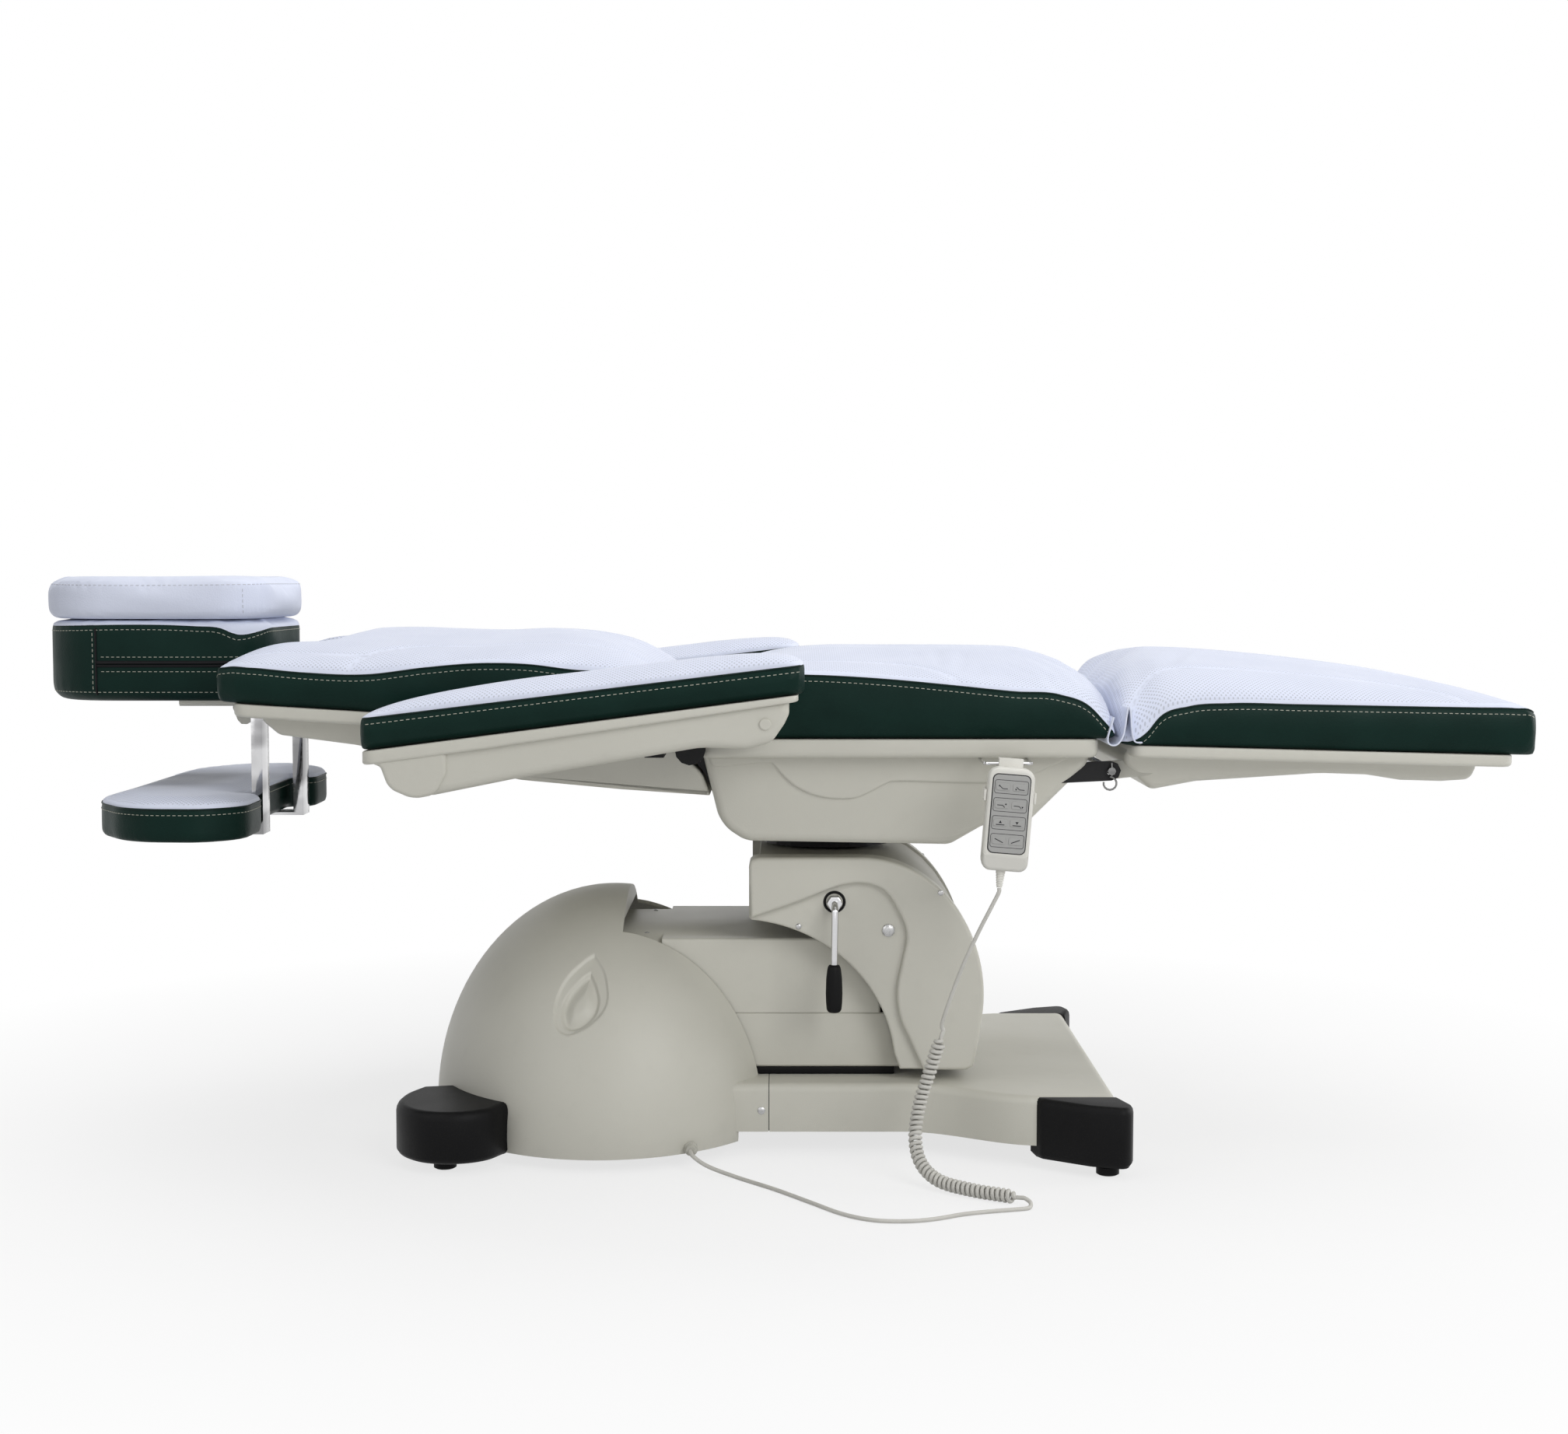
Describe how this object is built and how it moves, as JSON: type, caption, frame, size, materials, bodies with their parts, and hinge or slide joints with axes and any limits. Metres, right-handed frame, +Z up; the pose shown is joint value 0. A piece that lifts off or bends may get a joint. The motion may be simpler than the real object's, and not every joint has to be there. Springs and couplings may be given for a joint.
{
  "type": "treatment bed",
  "caption": "Powered padded treatment bed on a domed base, with a lift arm, swivel, tilting seat, reclining back, leg rest, level armrests, head support and corded handset.",
  "frame": {"origin": "on the floor under the middle of the bed's length and width", "axes": "+X to the foot end, +Y to the far side, +Z up"},
  "size_m": [1.884, 0.9335, 0.7255],
  "materials": {
    "steel": "satin black paint",
    "shell": "light warm grey textured plastic",
    "shell_under": "darker warm grey plastic",
    "black": "matt black plastic",
    "chrome": "bright chrome plate",
    "green": "dark green grained vinyl with stitched seams",
    "white": "white perforated vinyl",
    "handset": "off-white moulded plastic",
    "keypad": "grey membrane",
    "cord": "light grey cord sheath"
  },
  "bodies": {
    "base": {"base_frame": "steel", "base_cover": "shell", "dome_cover": "shell", "cap_head_near": "black", "cap_head_far": "black", "cap_foot_near": "black", "cap_foot_far": "black", "skirt_base": "black", "lift_skirt": "shell", "cord_gland": "black", "cord_hang": "cord", "cord_coil": "cord", "cord_floor": "cord"},
    "lift_arm": {"arm_frame": "steel", "arm_cover": "shell"},
    "lift_link": {"lift_link": "steel"},
    "lift_head": {"head_frame": "steel", "head_cover_near": "shell", "head_cover_far": "shell", "head_spine": "shell_under"},
    "lock_lever": {"lever_rod": "chrome", "lever_grip": "black"},
    "turntable": {"turntable": "steel"},
    "seat": {"seat_frame": "steel", "seat_pan": "shell", "seat_cushion": "white", "handset_hook": "chrome", "handset_holder": "handset"},
    "back": {"back_frame": "steel", "back_pan": "shell", "back_cushion": "white", "shelf_bracket_near": "chrome", "shelf_bracket_far": "chrome", "shelf_pad": "green"},
    "headrest_carriage": {"head_rails": "chrome"},
    "headrest": {"head_plate": "shell", "head_cushion": "green", "pillow": "white"},
    "armrest_near": {"arm_shell_near": "shell", "arm_cushion_near": "green"},
    "armrest_far": {"arm_shell_far": "shell", "arm_cushion_far": "green"},
    "arm_link_near": {"arm_link_near": "steel"},
    "arm_link_far": {"arm_link_far": "steel"},
    "leg_rest": {"leg_frame": "steel", "leg_pan": "shell", "leg_cushion": "white", "hinge_pin": "chrome"},
    "handset": {"handset_body": "handset", "handset_keypad": "keypad", "strain_relief": "cord"},
    "key_1_up": {"key_1_up": "keypad"},
    "key_1_down": {"key_1_down": "keypad"},
    "key_2_up": {"key_2_up": "keypad"},
    "key_2_down": {"key_2_down": "keypad"},
    "key_3_up": {"key_3_up": "keypad"},
    "key_3_down": {"key_3_down": "keypad"},
    "key_4_up": {"key_4_up": "keypad"},
    "key_4_down": {"key_4_down": "keypad"}
  },
  "joints": [
    {"name": "lift_raise", "type": "hinge", "parent": "base", "child": "lift_arm", "pos_m": [-0.19, 0, 0.185], "axis": [0, -1, 0], "range_deg": [0, 28]},
    {"name": "head_level", "type": "hinge", "parent": "lift_arm", "child": "lift_head", "pos_m": [0.19, 0, 0.215], "axis": [0, -1, 0], "range_deg": [-28, 0]},
    {"name": "link_swing", "type": "hinge", "parent": "base", "child": "lift_link", "pos_m": [-0.19, 0, 0.125], "axis": [0, -1, 0], "range_deg": [0, 28]},
    {"name": "lock_turn", "type": "hinge", "parent": "lift_head", "child": "lock_lever", "pos_m": [0.095, -0.2, 0.317], "axis": [0, 1, 0], "range_deg": [0, 60]},
    {"name": "swivel", "type": "hinge", "parent": "lift_head", "child": "turntable", "pos_m": [0.09, 0, 0.38], "axis": [0, 0, 1], "range_deg": [-90, 90]},
    {"name": "seat_tilt", "type": "hinge", "parent": "turntable", "child": "seat", "pos_m": [0, 0, 0.432], "axis": [0, -1, 0], "range_deg": [0, 12]},
    {"name": "back_recline", "type": "hinge", "parent": "seat", "child": "back", "pos_m": [-0.078, 0, 0.565], "axis": [0, 1, 0], "range_deg": [0, 70]},
    {"name": "armrest_near_level", "type": "hinge", "parent": "back", "child": "armrest_near", "pos_m": [-0.285, -0.3, 0.53], "axis": [0, 1, 0], "range_deg": [-70, 0]},
    {"name": "armrest_far_level", "type": "hinge", "parent": "back", "child": "armrest_far", "pos_m": [-0.285, 0.3, 0.53], "axis": [0, 1, 0], "range_deg": [-70, 0]},
    {"name": "arm_link_near_swing", "type": "hinge", "parent": "seat", "child": "arm_link_near", "pos_m": [-0.088, -0.3, 0.539], "axis": [0, 1, 0], "range_deg": [0, 70]},
    {"name": "arm_link_far_swing", "type": "hinge", "parent": "seat", "child": "arm_link_far", "pos_m": [-0.088, 0.3, 0.539], "axis": [0, 1, 0], "range_deg": [0, 70]},
    {"name": "leg_fold", "type": "hinge", "parent": "seat", "child": "leg_rest", "pos_m": [0.4325, 0, 0.4877], "axis": [0, 1, 0], "range_deg": [0, 75]},
    {"name": "headrest_slide", "type": "slide", "parent": "back", "child": "headrest_carriage", "axis": [-1, 0, 0], "range_m": [0, 0.08]},
    {"name": "headrest_tilt", "type": "hinge", "parent": "headrest_carriage", "child": "headrest", "pos_m": [-0.662, 0, 0.545], "axis": [0, 1, 0], "range_deg": [-20, 15]},
    {"name": "handset_pull", "type": "slide", "parent": "seat", "child": "handset", "axis": [0, -1, 0], "range_m": [0, 0.06]},
    {"name": "press_1_up", "type": "slide", "parent": "handset", "child": "key_1_up", "axis": [0, 1, 0], "range_m": [0, 0.0005], "stiffness_N_per_m": 800},
    {"name": "press_1_down", "type": "slide", "parent": "handset", "child": "key_1_down", "axis": [0, 1, 0], "range_m": [0, 0.0005], "stiffness_N_per_m": 800},
    {"name": "press_2_up", "type": "slide", "parent": "handset", "child": "key_2_up", "axis": [0, 1, 0], "range_m": [0, 0.0005], "stiffness_N_per_m": 800},
    {"name": "press_2_down", "type": "slide", "parent": "handset", "child": "key_2_down", "axis": [0, 1, 0], "range_m": [0, 0.0005], "stiffness_N_per_m": 800},
    {"name": "press_3_up", "type": "slide", "parent": "handset", "child": "key_3_up", "axis": [0, 1, 0], "range_m": [0, 0.0005], "stiffness_N_per_m": 800},
    {"name": "press_3_down", "type": "slide", "parent": "handset", "child": "key_3_down", "axis": [0, 1, 0], "range_m": [0, 0.0005], "stiffness_N_per_m": 800},
    {"name": "press_4_up", "type": "slide", "parent": "handset", "child": "key_4_up", "axis": [0, 1, 0], "range_m": [0, 0.0005], "stiffness_N_per_m": 800},
    {"name": "press_4_down", "type": "slide", "parent": "handset", "child": "key_4_down", "axis": [0, 1, 0], "range_m": [0, 0.0005], "stiffness_N_per_m": 800}
  ],
  "couplings": [
    {"joint": "head_level", "follows": "lift_raise", "ratio": -1},
    {"joint": "link_swing", "follows": "lift_raise", "ratio": 1},
    {"joint": "armrest_near_level", "follows": "back_recline", "ratio": -1},
    {"joint": "armrest_far_level", "follows": "back_recline", "ratio": -1},
    {"joint": "arm_link_near_swing", "follows": "back_recline", "ratio": 1},
    {"joint": "arm_link_far_swing", "follows": "back_recline", "ratio": 1}
  ]
}
